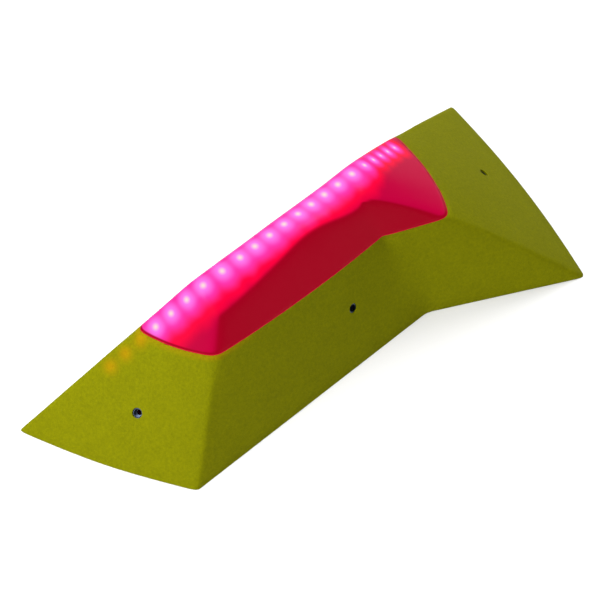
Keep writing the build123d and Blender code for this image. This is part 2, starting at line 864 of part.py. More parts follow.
with BuildPart() as driver_lid:
    with BuildSketch(lid_plane):
        RectangleRounded(driver_length, driver_height, driver_corner)
        with GridLocations(*driver_screw_spread, 2, 2):
            Circle(driver_screw_diameter / 2, mode=Mode.SUBTRACT)
    extrude(amount=driver_lid_thickness)
    with BuildSketch(led_gland_plane):
        Circle(gland_radius)
    extrude(amount=-driver_lid_thickness, mode=Mode.SUBTRACT)
write(driver_lid.part, "driver_lid")

with BuildPart() as driver_lid_screws:
    for spot in GridLocations(*driver_screw_spread, 2, 2).locations:
        corner = lid_top.from_local_coords(spot.position)
        add(
            screw(
                Plane(origin=corner, z_dir=lid_top.z_dir),
                driver_screw_diameter,
                driver_screw_length,
                driver_screw_head_diameter,
                driver_screw_head_height,
            )
        )
write(driver_lid_screws.part, "driver_lid_screws")

with BuildPart() as driver_board:
    with BuildSketch(driver_plane.offset(driver_wall + board_raise)):
        Rectangle(
            driver_length - 2 * (driver_post + board_gap),
            driver_height - 2 * (driver_wall + board_gap),
        )
    extrude(amount=board_thickness)
    board_face = driver_plane.offset(driver_wall + board_raise + board_thickness)
    for place, size, height in board_components:
        with BuildSketch(board_face):
            with Locations(place):
                Rectangle(*size)
        extrude(amount=height)
    board_feet = driver_plane.offset(driver_wall)
    with BuildSketch(board_feet):
        with GridLocations(driver_length / 2, driver_height / 2, 2, 2):
            Circle(board_raise / 2)
    extrude(amount=board_raise)
write(driver_board.part, "driver_board")


def gland(plane, through):
    """Cable gland: a plug in the wall, a flange on it and a dome beyond."""
    with BuildPart() as piece:
        with BuildSketch(plane):
            Circle(gland_radius)
        extrude(amount=-through)
        with BuildSketch(plane):
            RegularPolygon(radius=gland_flange_radius, side_count=6)
        extrude(amount=gland_flange_thickness)
        with BuildSketch(plane):
            Circle(gland_radius)
        extrude(amount=gland_length)
        mouth = max(
            piece.edges().filter_by(GeomType.CIRCLE),
            key=lambda rim: plane.to_local_coords(rim.arc_center).Z,
        )
        chamfer(mouth, gland_chamfer)
    return piece.part


write(gland(power_gland_plane, driver_wall), "power_gland")
write(gland(led_gland_plane, driver_lid_thickness), "led_gland")

with BuildPart() as lead_grommet:
    with BuildSketch(grommet_plane):
        Circle(grommet_radius)
    extrude(amount=grommet_height)
    with BuildSketch(grommet_plane):
        Circle(lead_diameter / 2)
    extrude(amount=-channel_floor)
write(lead_grommet.part, "lead_grommet")

# ---- Power inlet in the back wall ----
with BuildPart() as power_inlet:
    with BuildSketch(inlet_spot):
        Circle(inlet_flange_radius)
    extrude(amount=inlet_flange_thickness)
    with BuildSketch(inlet_spot):
        Circle(inlet_body_radius)
    extrude(amount=-inlet_depth)
    with BuildSketch(inlet_spot.offset(inlet_flange_thickness)):
        Circle(inlet_socket_radius)
    extrude(amount=-inlet_socket_depth, mode=Mode.SUBTRACT)
write(power_inlet.part, "power_inlet")

with BuildPart() as inlet_nut:
    with BuildSketch(inlet_spot.offset(-wall_along(inlet_spot, shell_wall))):
        RegularPolygon(radius=inlet_nut_flats / 2, side_count=6, major_radius=False)
        Circle(inlet_body_radius, mode=Mode.SUBTRACT)
    extrude(amount=-inlet_nut_thickness)
write(inlet_nut.part, "inlet_nut")


# ---- Leads ----
def lead(points):
    """Round lead through points: straight runs joined by arcs as large as the runs allow."""
    points = [Vector(*p) for p in points]
    radii = []
    for before, here, after in zip(points, points[1:], points[2:]):
        turn = (here - before).get_angle(after - here)
        shorter = min((here - before).length, (after - here).length)
        radii.append(lead_bend_share * shorter / math.tan(math.radians(turn / 2)))
    print("lead bend radii", [round(radius, 1) for radius in radii])
    with BuildPart() as piece:
        with BuildLine() as route:
            FilletPolyline(*points, radius=radii)
        with BuildSketch(Plane(origin=points[0], z_dir=points[1] - points[0])):
            Circle(lead_diameter / 2)
        sweep(path=route.line)
    length_along = sum(edge.length for edge in route.edges())
    area = math.pi * lead_diameter**2 / 4
    print("lead length", round(length_along, 1))
    print("volume over section times length", round(piece.part.volume / area / length_along, 4))
    return piece.part


inlet_end = inlet_spot.origin - inlet_spot.z_dir * inlet_depth
gland_mouth = power_gland_plane.origin + power_gland_plane.z_dir * gland_length
bend_run = (inlet_end.Z - gland_mouth.Z) / inlet_spot.z_dir.Z
power_bend = inlet_end - inlet_spot.z_dir * bend_run
write(lead([inlet_end, power_bend, gland_mouth]), "power_lead")

led_lead_start = grommet_seat + grommet_down * grommet_height
led_lead_end = led_gland_plane.origin + led_gland_plane.z_dir * gland_length
led_lead_turn = led_lead_start + grommet_down * lead_straight
write(lead([led_lead_start, led_lead_turn, *led_lead_route, led_lead_end]), "led_lead")
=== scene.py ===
"""Looks of the lit climbing volume: moulded skins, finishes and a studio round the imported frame."""

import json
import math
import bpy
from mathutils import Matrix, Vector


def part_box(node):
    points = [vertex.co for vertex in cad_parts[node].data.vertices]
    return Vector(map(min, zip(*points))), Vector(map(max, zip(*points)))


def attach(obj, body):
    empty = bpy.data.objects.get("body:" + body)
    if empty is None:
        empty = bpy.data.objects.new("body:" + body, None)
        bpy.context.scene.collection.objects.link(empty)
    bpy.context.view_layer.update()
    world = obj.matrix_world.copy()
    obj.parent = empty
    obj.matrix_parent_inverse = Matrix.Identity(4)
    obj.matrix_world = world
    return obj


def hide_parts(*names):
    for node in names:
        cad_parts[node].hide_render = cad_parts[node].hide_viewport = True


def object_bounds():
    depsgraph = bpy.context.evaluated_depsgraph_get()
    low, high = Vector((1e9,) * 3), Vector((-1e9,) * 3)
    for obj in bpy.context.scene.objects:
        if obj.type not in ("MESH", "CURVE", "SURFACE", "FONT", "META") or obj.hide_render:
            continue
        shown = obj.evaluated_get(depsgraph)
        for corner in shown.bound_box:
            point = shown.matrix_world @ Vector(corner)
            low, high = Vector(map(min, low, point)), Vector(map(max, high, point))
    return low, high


bl_info = {
    "name": "Lit climbing volume",
    "version": (1, 0, 0),
    "blender": (4, 5, 0),
    "location": "3D View > Sidebar > Volume",
    "description": "Builds the moulded skins, the finishes and the stage of a lit climbing volume",
    "category": "Add Mesh",
}

import bpy
from mathutils import Vector

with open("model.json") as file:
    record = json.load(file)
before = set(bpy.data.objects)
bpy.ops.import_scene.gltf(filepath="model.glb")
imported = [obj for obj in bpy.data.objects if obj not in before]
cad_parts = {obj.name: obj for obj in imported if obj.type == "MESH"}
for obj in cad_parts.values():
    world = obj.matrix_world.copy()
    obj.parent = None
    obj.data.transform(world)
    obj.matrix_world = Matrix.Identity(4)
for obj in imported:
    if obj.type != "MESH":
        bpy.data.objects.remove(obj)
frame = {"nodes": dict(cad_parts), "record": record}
cad_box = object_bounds()
mounts = {mount["name"]: mount for mount in frame["record"]["mounts"]}
seam_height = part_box("body_shell")[1].z
cover_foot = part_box("light_cover")[0].z

MOULD = "skin_mould"
FACES = ("left", "front", "right", "back")

# Moulding, in metres
WAVE_SIZE = 0.11
WAVE_START = 0.03
RIM_TRIM = 0.0004
BELOW = 0.012
HOLD_RADIUS = 0.0085
INLET_LIP = 0.0035
HOLE_REACH = 0.060
SLOT_HALF = Vector((0.030, 0.012, 0.014))
SHELL_EDGE = 0.0009
COVER_EDGE = 0.0012
PACKAGE_GAP = 0.008
AT_HEIGHT = 1e-5

# Light and shade painted into the finishes: distances in metres, shares of full glow
LEAK_SPREAD = 0.0115
LEAK_MARGIN = 0.008
LEAK_SHARE = 0.26
RIM_GLOW = 0.10
RIM_GLOW_DROP = 0.010
RIM_GLOW_X = (-0.20, -0.30)
GLOW_BLEND = 0.010
GLOW_POWER = 0.94
FAR_REACH = (0.034, 0.066)
MID_REACH = (0.014, 0.040)
HALO_REACH = (0.003, 0.022)
CORE_REACH = (-0.001, 0.008)
SHOULDER_X = (0.075, 0.165)
# Heights over the cover's foot of the painted shade band there
FOOT_SHADE_BAND = (0.0035, 0.001)
SEAL_POWER = 0.8
LED_POWER = 5.0
PLY = 0.0016

# Stage, in metres
FLOOR_SIZE = 60.0
FLOOR_GAP = 0.0005
KEY_PLACE = Vector((-2.0, 0.2, 2.2))
KEY_SIZE = 1.6
FILL_PLACE = Vector((1.6, 1.4, 2.4))
FILL_SIZE = 2.0


# ---------------------------------------------------------------- settings


def length(name, description, default):
    """A length setting in metres."""
    return bpy.props.FloatProperty(
        name=name, description=description, default=default, unit="LENGTH", precision=4
    )


def place(name, description, default):
    """A point setting in metres."""
    return bpy.props.FloatVectorProperty(
        name=name,
        description=description,
        default=default,
        size=len(default),
        subtype="TRANSLATION",
    )


def colour(name, description, default):
    """A colour setting."""
    return bpy.props.FloatVectorProperty(
        name=name,
        description=description,
        default=default,
        size=3,
        subtype="COLOR",
        min=0,
        max=1,
    )


def crease(name, description, default):
    """A sharpness setting, from 0, round, to 1, sharp."""
    return bpy.props.FloatProperty(
        name=name, description=description, default=default, min=0, max=1
    )


class VolumeShape(bpy.types.PropertyGroup):
    """Corners and walls of the moulded skins."""

    rim_left_back: place("Rim left back", "Rim corner behind the left end", (-0.5400, 0.2275))
    rim_left_front: place(
        "Rim left front", "Rim corner in front of the left end", (-0.4220, -0.0650)
    )
    rim_waist: place("Rim waist", "Rim corner where the flare starts", (0.1060, -0.0830))
    rim_right_front: place("Rim right front", "Tip of the flare", (0.3600, -0.2299))
    rim_right_back: place("Rim right back", "Rim corner behind the right end", (0.5400, 0.2275))
    seam_left_back: place("Seam left back", "Seam corner over the rim's", (-0.3470, 0.1375))
    seam_left_front: place("Seam left front", "Seam corner over the rim's", (-0.3030, 0.0070))
    seam_waist: place("Seam waist", "Seam corner over the rim's", (0.0680, -0.0070))
    seam_right_front: place("Seam right front", "Seam corner over the rim's", (0.1880, -0.0600))
    seam_right_back: place("Seam right back", "Seam corner over the rim's", (0.2660, 0.1375))
    left_bulge: length("Left bulge", "Swell of the left end", 0.0135)
    front_bulge: length("Front bulge", "Swell of the front at the seam", 0.0090)
    right_bulge: length("Right bulge", "Swell of the right end", 0.0140)
    shell_wall: length("Shell wall", "Thickness of the fibreglass", 0.0065)
    cover_wall: length("Cover wall", "Thickness of the cover", 0.0045)
    seal_width: length("Seal width", "Width of the seal", 0.0080)
    seal_setback: length("Seal setback", "How far the seal lies behind the skin", 0.0012)
    flange_width: length("Flange width", "Width of the inner flanges", 0.0380)
    waviness: length("Waviness", "Depth of the hand-laid unevenness", 0.0016)
    hip_crease: crease("Hip crease", "Sharpness of the hips", 0.52)
    cover_hip_crease: crease("Cover hip crease", "Sharpness of the hips over the seam", 0.32)
    ridge_crease: crease("Ridge crease", "Sharpness of the ridge", 0.40)
    waist_crease: crease("Waist crease", "Sharpness of the waist at rim and seam", 0.60)
    corner_crease: crease("Corner crease", "Sharpness of the rim corners", 0.85)


class VolumeFinish(bpy.types.PropertyGroup):
    """Colours of the finishes."""

    shell: colour("Shell", "Olive sand-textured shell", (0.240, 0.245, 0.001))
    shell_dark: colour("Shell grain", "Shaded grains of the shell", (0.158, 0.162, 0.0006))
    # Painted shade in the pits of the sand grain.
    painted_pit_shade: colour("Shell pits", "Pits between the grains", (0.085, 0.088, 0.0006))
    shell_worn: colour("Shell worn", "Rubbed grains of the shell", (0.300, 0.300, 0.006))
    cover: colour("Cover", "Rose moulding, unlit", (0.110, 0.000, 0.008))
    cover_deep: colour("Cover deep", "Thicker places of the rose moulding", (0.080, 0.000, 0.005))
    # Painted light of the cover: emission colours by distance from the LEDs.
    glow_core: colour("Glow core", "Cover right over an LED", (1.000, 0.850, 0.720))
    glow_halo: colour("Glow halo", "Cover round an LED", (1.000, 0.230, 0.980))
    glow_near: colour("Glow near", "Cover between the LEDs", (1.000, 0.045, 0.500))
    glow_mid: colour("Glow middle", "Cover off the LED row", (1.000, 0.000, 0.045))
    glow_far: colour("Glow far", "Cover far from the LEDs", (0.500, 0.000, 0.045))
    # Painted shade: dim glow on the cover's front faces and at its foot.
    painted_shade_glow: colour("Glow front", "Front of the cover", (0.300, 0.000, 0.008))
    # Painted glow: colour of the LED light painted as emission where it leaks through the shell.
    bleed: colour("Bleed", "Light that leaks through the shell", (1.000, 0.160, 0.000))
    seal: colour("Seal", "Seal in the seam", (0.300, 0.001, 0.008))
    # Painted glow: LED light in the seal, painted as emission.
    seal_glow: colour("Seal glow", "Light in the seal", (0.420, 0.000, 0.020))
    seal_deep: colour("Seal deep", "Shaded seal", (0.180, 0.001, 0.006))
    plywood: colour("Plywood", "Sanded birch face", (0.480, 0.310, 0.150))
    plywood_pale: colour("Plywood pale", "Pale birch grain", (0.620, 0.440, 0.240))
    plywood_dark: colour("Plywood dark", "Glue lines and pores", (0.210, 0.110, 0.045))
    steel: colour("Steel", "Bright plated steel", (0.560, 0.570, 0.600))
    blued: colour("Blued steel", "Turned insert", (0.130, 0.160, 0.230))
    aluminium: colour("Aluminium", "Channel", (0.680, 0.690, 0.700))
    plastic: colour("Plastic", "Driver case", (0.080, 0.083, 0.088))
    black: colour("Black", "Rubber and nylon", (0.012, 0.012, 0.013))
    strip: colour("Strip", "Coated circuit", (0.800, 0.800, 0.760))
    board: colour("Board", "Circuit board", (0.010, 0.090, 0.030))
    floor: colour("Floor", "Plain pale floor", (0.930, 0.930, 0.930))


class VolumeStage(bpy.types.PropertyGroup):
    """Camera and light."""

    camera_azimuth: bpy.props.FloatProperty(
        name="Azimuth",
        description="Camera turn about Z",
        default=math.radians(-46.24),
        subtype="ANGLE",
    )
    camera_elevation: bpy.props.FloatProperty(
        name="Elevation",
        description="Camera height angle",
        default=math.radians(48.63),
        subtype="ANGLE",
    )
    camera_distance: length("Distance", "Camera to the point it looks at", 2.6645)
    camera_target: place("Target", "Point the camera looks at", (-0.0696, 0.0500, 0.0720))
    camera_lens: bpy.props.FloatProperty(
        name="Lens", description="Focal length in millimetres", default=96.0, min=10
    )
    key_power: bpy.props.FloatProperty(name="Key", description="Key light", default=92.0, min=0)
    fill_power: bpy.props.FloatProperty(name="Fill", description="Fill light", default=78.0, min=0)
    sky: bpy.props.FloatProperty(
        name="Sky", description="Even light all round", default=0.20, min=0
    )


# ---------------------------------------------------------------- modelling helpers


def alone(obj):
    """Makes one object the only selected and active one."""
    bpy.ops.object.select_all(action="DESELECT")
    obj.select_set(True)
    bpy.context.view_layer.objects.active = obj


def edit(obj, vertices=None, edges=None, mode="VERT"):
    """Opens edit mode with just the given vertices or edges selected."""
    alone(obj)
    bpy.ops.object.mode_set(mode="EDIT")
    bpy.ops.mesh.select_mode(type=mode)
    bpy.ops.mesh.select_all(action="DESELECT")
    bpy.ops.object.mode_set(mode="OBJECT")
    for index in vertices or ():
        obj.data.vertices[index].select = True
    for index in edges or ():
        obj.data.edges[index].select = True
    bpy.ops.object.mode_set(mode="EDIT")


def close():
    """Leaves edit mode."""
    bpy.ops.object.mode_set(mode="OBJECT")


def apply_modifier(obj, kind, **settings):
    """Adds a modifier, sets it up and applies it."""
    alone(obj)
    modifier = obj.modifiers.new(kind.lower(), kind)
    for key, value in settings.items():
        setattr(modifier, key, value)
    bpy.ops.object.modifier_apply(modifier=modifier.name)


def copy_of(obj, name):
    """A copy with its own mesh."""
    twin = obj.copy()
    twin.data = obj.data.copy()
    twin.name = name
    twin.data.name = name
    bpy.context.scene.collection.objects.link(twin)
    return twin


def settle(obj):
    """Puts an object's place into its mesh."""
    alone(obj)
    bpy.ops.object.transform_apply(location=True, rotation=True, scale=True)


def drop(obj):
    """Removes a helper object."""
    bpy.data.objects.remove(obj)


# ---------------------------------------------------------------- the mould


class Mould:
    """Cage of the whole outer skin: columns of points from the rim over the seam to the crown."""

    front_shares = (0.11, 0.27, 0.43, 0.56, 0.68, 0.82)
    right_shares = (0.25, 0.50, 0.75)
    back_shares = (0.07, 0.19, 0.30, 0.40, 0.49, 0.58, 0.66, 0.74, 0.84, 0.93)
    top_end = (-0.2640, 0.0860, 0.2560)
    top_left = (-0.2720, 0.0570, 0.2400)
    brow_left = (-0.2700, 0.0270, 0.2200)
    brow = (
        (-0.2300, 0.0240, 0.2290),
        (-0.1720, 0.0250, 0.2400),
        (-0.1140, 0.0275, 0.2530),
        (-0.0750, 0.0300, 0.2610),
        (-0.0350, 0.0260, 0.2560),
        (0.0050, 0.0200, 0.2430),
    )
    brow_waist = (0.0330, 0.0170, 0.2390)
    brow_bridge = (0.0440, 0.0180, 0.2430)
    brow_tip = (0.0540, 0.0200, 0.2480)
    shoulder = ((0.0950, 0.0390, 0.2490), (0.1470, 0.0660, 0.2240), (0.2000, 0.0890, 0.1960))
    shoulder_end = (0.2410, 0.1290, 0.1790)
    spine = (
        (0.2050, 0.1190, 0.1990),
        (0.1460, 0.1010, 0.2300),
        (0.0920, 0.0850, 0.2590),
        (0.0400, 0.0845, 0.2580),
        (-0.0050, 0.0845, 0.2570),
        (-0.0500, 0.0845, 0.2570),
        (-0.0900, 0.0845, 0.2575),
        (-0.1320, 0.0845, 0.2575),
        (-0.1850, 0.0845, 0.2580),
        (-0.2300, 0.0850, 0.2580),
    )

    def __init__(self, shape):
        self.shape = shape
        self.rim = self.level("rim", 0.0, 0.0)
        self.seam = self.level("seam", seam_height, shape.front_bulge)
        self.crown = [Vector(point) for point in (
            self.top_end, self.top_left, self.brow_left, *self.brow, self.brow_waist,
            self.brow_bridge, self.brow_tip, *self.shoulder, self.shoulder_end, *self.spine,
        )]
        self.count = len(self.crown)
        self.left_back = 0
        self.left_front = 2
        self.waist = self.left_front + len(self.brow) + 1
        self.right_front = self.waist + 2
        self.right_back = self.right_front + len(self.shoulder) + 1

    def level(self, name, height, front_bulge):
        """Points round the skin at the rim or at the seam."""
        shape = self.shape
        names = ("left_back", "left_front", "waist", "right_front", "right_back")
        corners = [Vector((*getattr(shape, f"{name}_{corner}"), height)) for corner in names]
        left_back, left_front, waist, right_front, right_back = corners

        def between(start, end, shares, bulge):
            side = end - start
            out = Vector((side.y, -side.x, 0)).normalized()
            return [start + side * t + out * (bulge * 4 * t * (1 - t)) for t in shares]

        return [
            left_back,
            *between(left_back, left_front, (0.5,), shape.left_bulge),
            left_front,
            *between(left_front, waist, self.front_shares, front_bulge),
            waist,
            *between(waist, right_front, (0.5,), 0.0),
            right_front,
            *between(right_front, right_back, self.right_shares, shape.right_bulge),
            right_back,
            *between(right_back, left_back, self.back_shares, 0.0),
        ]

    def lay(self, obj, indices, points):
        """Moves a loop's vertices onto its points."""
        for index, point in zip(indices, points):
            obj.data.vertices[index].co = point

    def raise_loop(self, obj, loop, points):
        """Extrudes a loop upwards and lays the new one on its points."""
        edit(obj, vertices=loop)
        bpy.ops.mesh.extrude_edges_move(TRANSFORM_OT_translate={"value": (0, 0, seam_height)})
        close()
        vertices = obj.data.vertices
        fresh = [v.index for v in vertices if v.select]
        raised = []
        for index in loop:
            below = vertices[index].co.xy
            raised.append(min(fresh, key=lambda i: math.dist(vertices[i].co.xy, below)))
        self.lay(obj, raised, points)
        return raised

    def cover_top(self, obj, top):
        """Fills the shoulder between the brow and the spine."""
        last = self.count - 1
        first_spine = self.right_back + 1
        faces = [(0, 1, 2, 3, last)]
        for step in range(len(self.brow) - 1):
            front = self.left_front + 1 + step
            back = last - step
            faces.append((front, front + 1, back - 1, back))
        faces.append((self.waist - 1, self.waist, first_spine + 3, first_spine + 4))
        faces.append((self.waist, self.waist + 1, self.right_front, first_spine + 3))
        for step in range(len(self.shoulder)):
            front = self.right_front + step
            back = first_spine + 3 - step
            faces.append((front, front + 1, back - 1, back))
        faces.append((self.right_back - 1, self.right_back, first_spine))
        for face in faces:
            edit(obj, vertices=[top[i] for i in face])
            bpy.ops.mesh.edge_face_add()
            close()

    def crease(self, obj, chains, value):
        """Creases the edges along chains of vertices."""
        pairs = {frozenset(pair) for chain in chains for pair in zip(chain, chain[1:])}
        edges = [e.index for e in obj.data.edges if frozenset(e.vertices) in pairs]
        edit(obj, edges=edges, mode="EDGE")
        bpy.ops.transform.edge_crease(value=value)
        close()

    def build(self):
        """The finished outer skin, without thickness."""
        bpy.ops.mesh.primitive_circle_add(vertices=self.count, radius=0.5, fill_type="NOTHING")
        obj = bpy.context.object
        obj.name = MOULD
        low = list(range(self.count))
        self.lay(obj, low, self.rim)
        middle = self.raise_loop(obj, low, self.seam)
        top = self.raise_loop(obj, middle, self.crown)
        self.cover_top(obj, top)
        columns = (self.left_back, self.left_front, self.right_front, self.right_back)
        self.crease(obj, [(low[i], middle[i]) for i in columns], self.shape.hip_crease)
        self.crease(obj, [(middle[i], top[i]) for i in columns], self.shape.cover_hip_crease)
        self.crease(obj, [top + top[:1]], self.shape.ridge_crease)
        edit(obj, vertices=[low[i] for i in columns])
        bpy.ops.transform.vert_crease(value=self.shape.corner_crease)
        bpy.ops.mesh.select_all(action="DESELECT")
        close()
        edit(obj, vertices=[low[self.waist], middle[self.waist]])
        bpy.ops.transform.vert_crease(value=self.shape.waist_crease)
        bpy.ops.mesh.select_all(action="SELECT")
        bpy.ops.mesh.normals_make_consistent(inside=False)
        close()
        apply_modifier(obj, "SUBSURF", levels=4, render_levels=4)
        self.unevenness(obj)
        return obj

    def unevenness(self, obj):
        """Gives the skin the slight waves of a hand-laid moulding, none at the rim."""
        group = obj.vertex_groups.new(name="waves")
        for vertex in obj.data.vertices:
            group.add([vertex.index], min(vertex.co.z / WAVE_START, 1.0), "REPLACE")
        texture = bpy.data.textures.new("waves", "CLOUDS")
        texture.noise_scale = WAVE_SIZE
        texture.noise_depth = 1
        apply_modifier(
            obj,
            "DISPLACE",
            texture=texture,
            strength=self.shape.waviness,
            mid_level=0.5,
            vertex_group="waves",
        )
        obj.vertex_groups.clear()


def band(outer, name, low, high):
    """The part of the skin between two heights; None leaves that side open."""
    piece = copy_of(outer, name)
    for height, upper in ((low, False), (high, True)):
        if height is None:
            continue
        edit(piece)
        bpy.ops.mesh.select_all(action="SELECT")
        bpy.ops.mesh.bisect(
            plane_co=(0, 0, height), plane_no=(0, 0, 1), clear_inner=not upper, clear_outer=upper
        )
        close()
    return piece


def level_loop(obj, height):
    """Vertices of an object at a height."""
    return [v.index for v in obj.data.vertices if abs(v.co.z - height) < AT_HEIGHT]


def turn_in(obj, height, width):
    """Extrudes the open edge at a height inwards as a flange."""
    loop = level_loop(obj, height)
    spots = [obj.data.vertices[i].co.copy() for i in loop]
    low = Vector((min(s.x for s in spots), min(s.y for s in spots), height))
    high = Vector((max(s.x for s in spots), max(s.y for s in spots), height))
    middle = (low + high) / 2
    span = high - low
    shrink = (1 - 2 * width / span.x, 1 - 2 * width / span.y, 1)
    edit(obj, vertices=loop)
    bpy.ops.mesh.extrude_edges_move()
    bpy.ops.transform.resize(value=shrink, center_override=middle)
    close()


def drill(obj, mount_name, radius, depth):
    """Cuts a round hole on a mount's axis."""
    mount = mounts[mount_name]
    axis = Vector(mount["axis"])
    bpy.ops.mesh.primitive_cylinder_add(
        vertices=64,
        radius=radius,
        depth=depth,
        location=Vector(mount["pos_m"]),
        rotation=axis.to_track_quat("Z", "Y").to_euler(),
    )
    cutter = bpy.context.object
    apply_modifier(obj, "BOOLEAN", object=cutter, operation="DIFFERENCE", solver="MANIFOLD")
    drop(cutter)


def cut_box(obj, low, high):
    """Cuts a box-shaped slot."""
    bpy.ops.mesh.primitive_cube_add(size=1, location=(low + high) / 2, scale=high - low)
    cutter = bpy.context.object
    apply_modifier(obj, "BOOLEAN", object=cutter, operation="DIFFERENCE", solver="MANIFOLD")
    drop(cutter)


def smooth(obj, degrees=38):
    """Smooth shading except over sharp edges."""
    alone(obj)
    bpy.ops.object.shade_smooth_by_angle(angle=math.radians(degrees))


def finish_piece(obj, material, slot, *replaced):
    """Gives a piece its material and ties it to the frame."""
    obj.data.materials.clear()
    obj.data.materials.append(material)
    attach(obj, "root")
    if replaced:
        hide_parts(*replaced)


# ---------------------------------------------------------------- shader helpers


class Signal:
    """A number carried by a socket, with plain arithmetic."""

    def __init__(self, shader, socket):
        self.shader = shader
        self.socket = socket

    def __add__(self, other):
        return self.shader.math("ADD", self, other)

    __radd__ = __add__

    def __sub__(self, other):
        return self.shader.math("SUBTRACT", self, other)

    def __rsub__(self, other):
        return self.shader.math("SUBTRACT", other, self)

    def __mul__(self, other):
        return self.shader.math("MULTIPLY", self, other)

    __rmul__ = __mul__

    def exp(self):
        """The number's natural exponential."""
        return self.shader.math("EXPONENT", self)

    def clip(self):
        """The number held between 0 and 1."""
        return self.shader.node("ShaderNodeClamp", {}, {"Value": self})

    def step(self, low, high):
        """0 under low, 1 over high, smooth between."""
        return self.shader.node(
            "ShaderNodeMapRange",
            {"interpolation_type": "SMOOTHSTEP"},
            {"Value": self, "From Min": low, "From Max": high},
        )


class Shader:
    """A principled material under construction."""

    def __init__(self, name, **constants):
        self.material = bpy.data.materials.new(name)
        self.material.use_nodes = True
        self.tree = self.material.node_tree
        self.surface = next(n for n in self.tree.nodes if n.type == "BSDF_PRINCIPLED")
        coordinates = self.tree.nodes.new("ShaderNodeTexCoord")
        self.point = coordinates.outputs["Object"]
        self.normal = coordinates.outputs["Normal"]
        for name, value in constants.items():
            self.set(name.replace("_", " ").title().replace("Ior", "IOR"), value)

    def set(self, socket, value):
        """Sets or links one socket of the surface."""
        self.feed(self.surface.inputs[socket], value)

    def feed(self, socket, value):
        """Sets or links any node's input socket."""
        if isinstance(value, Signal):
            value = value.socket
        if isinstance(value, bpy.types.NodeSocket):
            self.tree.links.new(value, socket)
        elif isinstance(value, (int, float)) or len(value) == len(socket.default_value):
            socket.default_value = value
        else:
            socket.default_value = (*value, 1)

    def node(self, kind, settings, sockets, output=0):
        """Adds a node and returns one of its outputs."""
        node = self.tree.nodes.new(kind)
        for key, value in settings.items():
            setattr(node, key, value)
        for key, value in sockets.items():
            self.feed(node.inputs[key], value)
        return Signal(self, node.outputs[output])

    def math(self, operation, *values):
        """Adds a Math node."""
        return self.node("ShaderNodeMath", {"operation": operation}, dict(enumerate(values)))

    def noise(self, scale, detail=2.0, roughness=0.5, stretch=(1, 1, 1)):
        """Noise on object coordinates, scale per metre."""
        point = self.point
        if stretch != (1, 1, 1):
            point = self.node("ShaderNodeMapping", {}, {"Vector": point, "Scale": stretch})
        sockets = {"Vector": point, "Scale": scale, "Detail": detail, "Roughness": roughness}
        return self.node("ShaderNodeTexNoise", {}, sockets, "Fac")

    def grains(self, scale):
        """Distance to the nearest grain on object coordinates, scale per metre."""
        sockets = {"Vector": self.point, "Scale": scale}
        return self.node("ShaderNodeTexVoronoi", {"feature": "F1"}, sockets, "Distance")

    def mix(self, share, low, high):
        """Colour between two colours."""
        return self.node("ShaderNodeMix", {"data_type": "RGBA"}, {0: share, 6: low, 7: high}, 2)

    def distance(self, spot):
        """Distance of the surface point from a spot."""
        return self.node(
            "ShaderNodeVectorMath", {"operation": "DISTANCE"}, {0: self.point, 1: spot}, "Value"
        )

    def axis(self, vector, name):
        """One coordinate of a vector."""
        return self.node("ShaderNodeSeparateXYZ", {}, {0: vector}, name)

    def bump(self, height, distance, strength=1.0):
        """Feeds a bump of a height signal to the surface."""
        normal = self.node(
            "ShaderNodeBump", {}, {"Height": height, "Distance": distance, "Strength": strength}
        )
        self.set("Normal", normal)


def led_spots():
    """Middle of each LED package, from the left."""
    vertices = frame["nodes"]["leds"].data.vertices
    points = sorted((v.co.copy() for v in vertices), key=lambda p: p.x)
    groups = [[points[0]]]
    for before, here in zip(points, points[1:]):
        if here.x - before.x > PACKAGE_GAP:
            groups.append([])
        groups[-1].append(here)
    return [sum(group, Vector()) / len(group) for group in groups]


def nearest(shader, spots, softness=0.0):
    """Distance to the nearest of some spots, rounded off between them."""
    result = shader.distance(spots[0])
    for spot in spots[1:]:
        if softness:
            result = shader.math("SMOOTH_MIN", result, shader.distance(spot), softness)
        else:
            result = shader.math("MINIMUM", result, shader.distance(spot))
    return result


# ---------------------------------------------------------------- finishes


def shell_material(finish, leaks):
    """Sand-textured, through-coloured fibreglass, with painted shade in the pits of its grain and a
    painted glow where LED light leaks through it.
    """
    shader = Shader("olive_sand_shell", specular_ior_level=0.04)
    fine = shader.noise(900.0, detail=3.0, roughness=0.7)
    patches = shader.noise(22.0, detail=4.0, roughness=0.6)
    specks = shader.grains(520.0)
    sand = shader.noise(210.0, detail=4.0, roughness=0.8)
    share = (patches * 0.4 + fine * 0.5 + sand * 2.4 - 1.15).clip()
    base = shader.mix(share, finish.shell_dark, finish.shell)
    # Painted shade: the low points of the bump, the pits, get a darker colour.
    base = shader.mix(specks.step(0.05, 0.16) * -0.3 + 0.3, base, finish.painted_pit_shade)
    chips = shader.noise(140.0, detail=5.0, roughness=0.65).step(0.68, 0.76) * 0.3
    shader.set("Base Color", shader.mix(chips, base, finish.shell_worn))
    shader.set("Roughness", fine * 0.16 + 0.74)
    # Painted light: an orange glow, as emission, round the spots where LED beams meet the shell, and
    # a glow band painted under the seam at the left end.
    glow = 0.0
    for spot in leaks:
        reach = shader.distance(spot)
        glow = glow + (reach * reach * (-1 / LEAK_SPREAD**2)).exp()
    height = shader.axis(shader.point, "Z")
    west = shader.axis(shader.point, "X")
    rim = height.step(seam_height - RIM_GLOW_DROP, seam_height) * west.step(*RIM_GLOW_X) * RIM_GLOW
    leaked = (glow * LEAK_SHARE + rim).clip()
    shader.set("Emission Color", shader.mix(leaked, (0, 0, 0), finish.bleed))
    shader.set("Emission Strength", 1.0)
    shader.bump(specks * 0.6 + fine, 0.0009, 0.7)
    return shader.material


